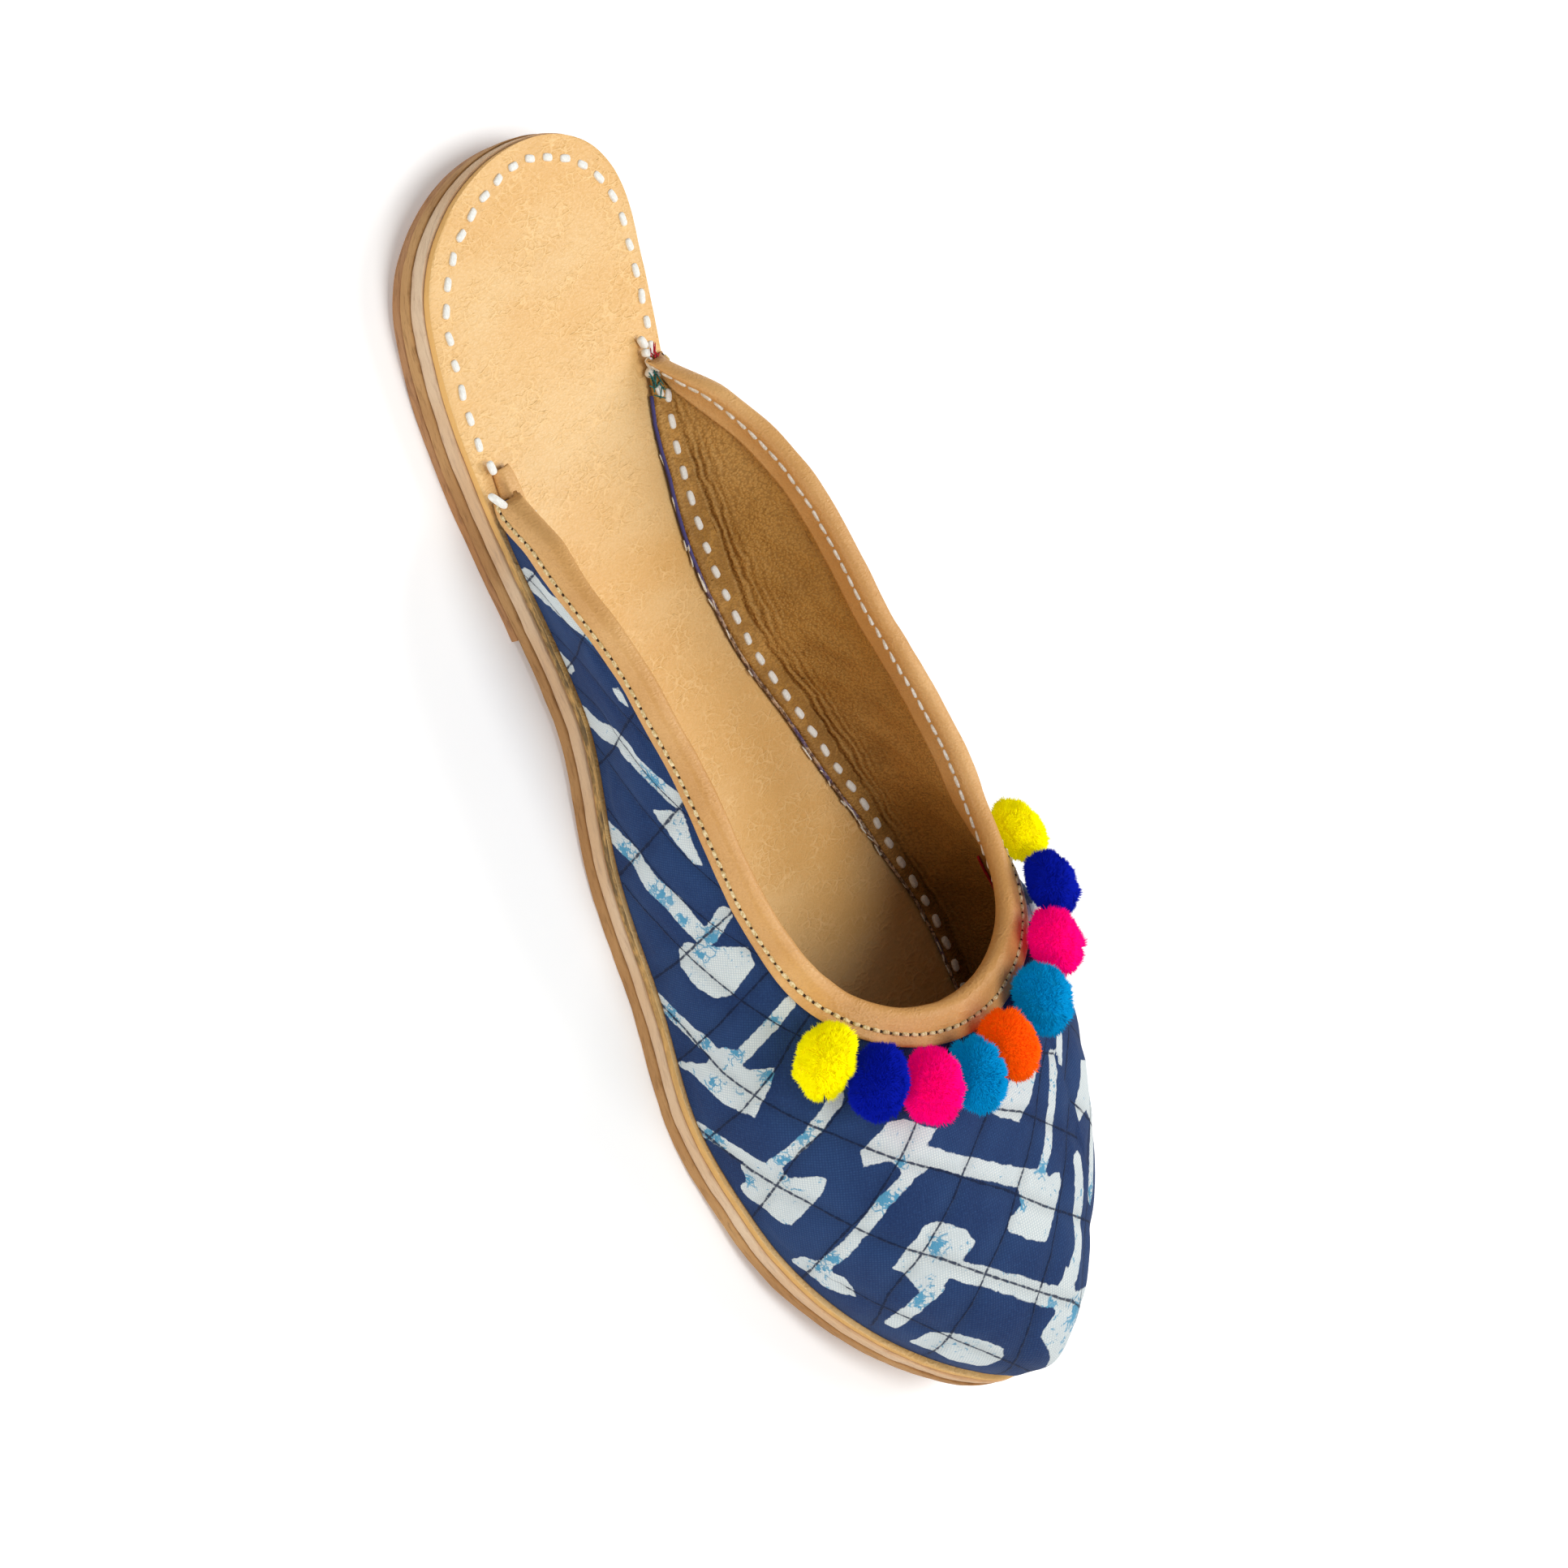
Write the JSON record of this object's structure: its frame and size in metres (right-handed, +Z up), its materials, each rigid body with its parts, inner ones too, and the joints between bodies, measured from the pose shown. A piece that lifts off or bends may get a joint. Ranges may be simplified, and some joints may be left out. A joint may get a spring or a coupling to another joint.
{
  "type": "pom pom slipper",
  "caption": "Flat backless slipper: hollow quilted cloth upper, leather bound collar, a row of pompoms round the throat, and a layered leather sole with a low heel lift.",
  "frame": {"origin": "middle of the whole part's bounding box, on the floor", "axes": "+X from heel to toe, +Y to the wearer's left, +Z up"},
  "size_m": [0.25, 0.0885, 0.057],
  "materials": {
    "heel_lift": "raw cut edge, matte",
    "outsole": "raw cut edge, matte",
    "midsole": "raw cut edge, pale, matte",
    "insole": "grained, soft sheen",
    "upper": "quilted printed cotton, matte",
    "collar_binding": "smooth, soft sheen",
    "yarn_yellow": "fluffy cut yarn, matte",
    "yarn_blue": "fluffy cut yarn, matte",
    "yarn_pink": "fluffy cut yarn, matte",
    "yarn_teal": "fluffy cut yarn, matte",
    "yarn_orange": "fluffy cut yarn, matte"
  },
  "bodies": {
    "root": {"heel_lift": "heel_lift", "outsole": "outsole", "midsole": "midsole", "insole": "insole", "upper": "upper", "collar_binding": "collar_binding", "pompom_1": "yarn_yellow", "pompom_2": "yarn_blue", "pompom_3": "yarn_pink", "pompom_4": "yarn_teal", "pompom_5": "yarn_orange", "pompom_6": "yarn_teal", "pompom_7": "yarn_pink", "pompom_8": "yarn_blue", "pompom_9": "yarn_yellow"}
  },
  "joints": []
}
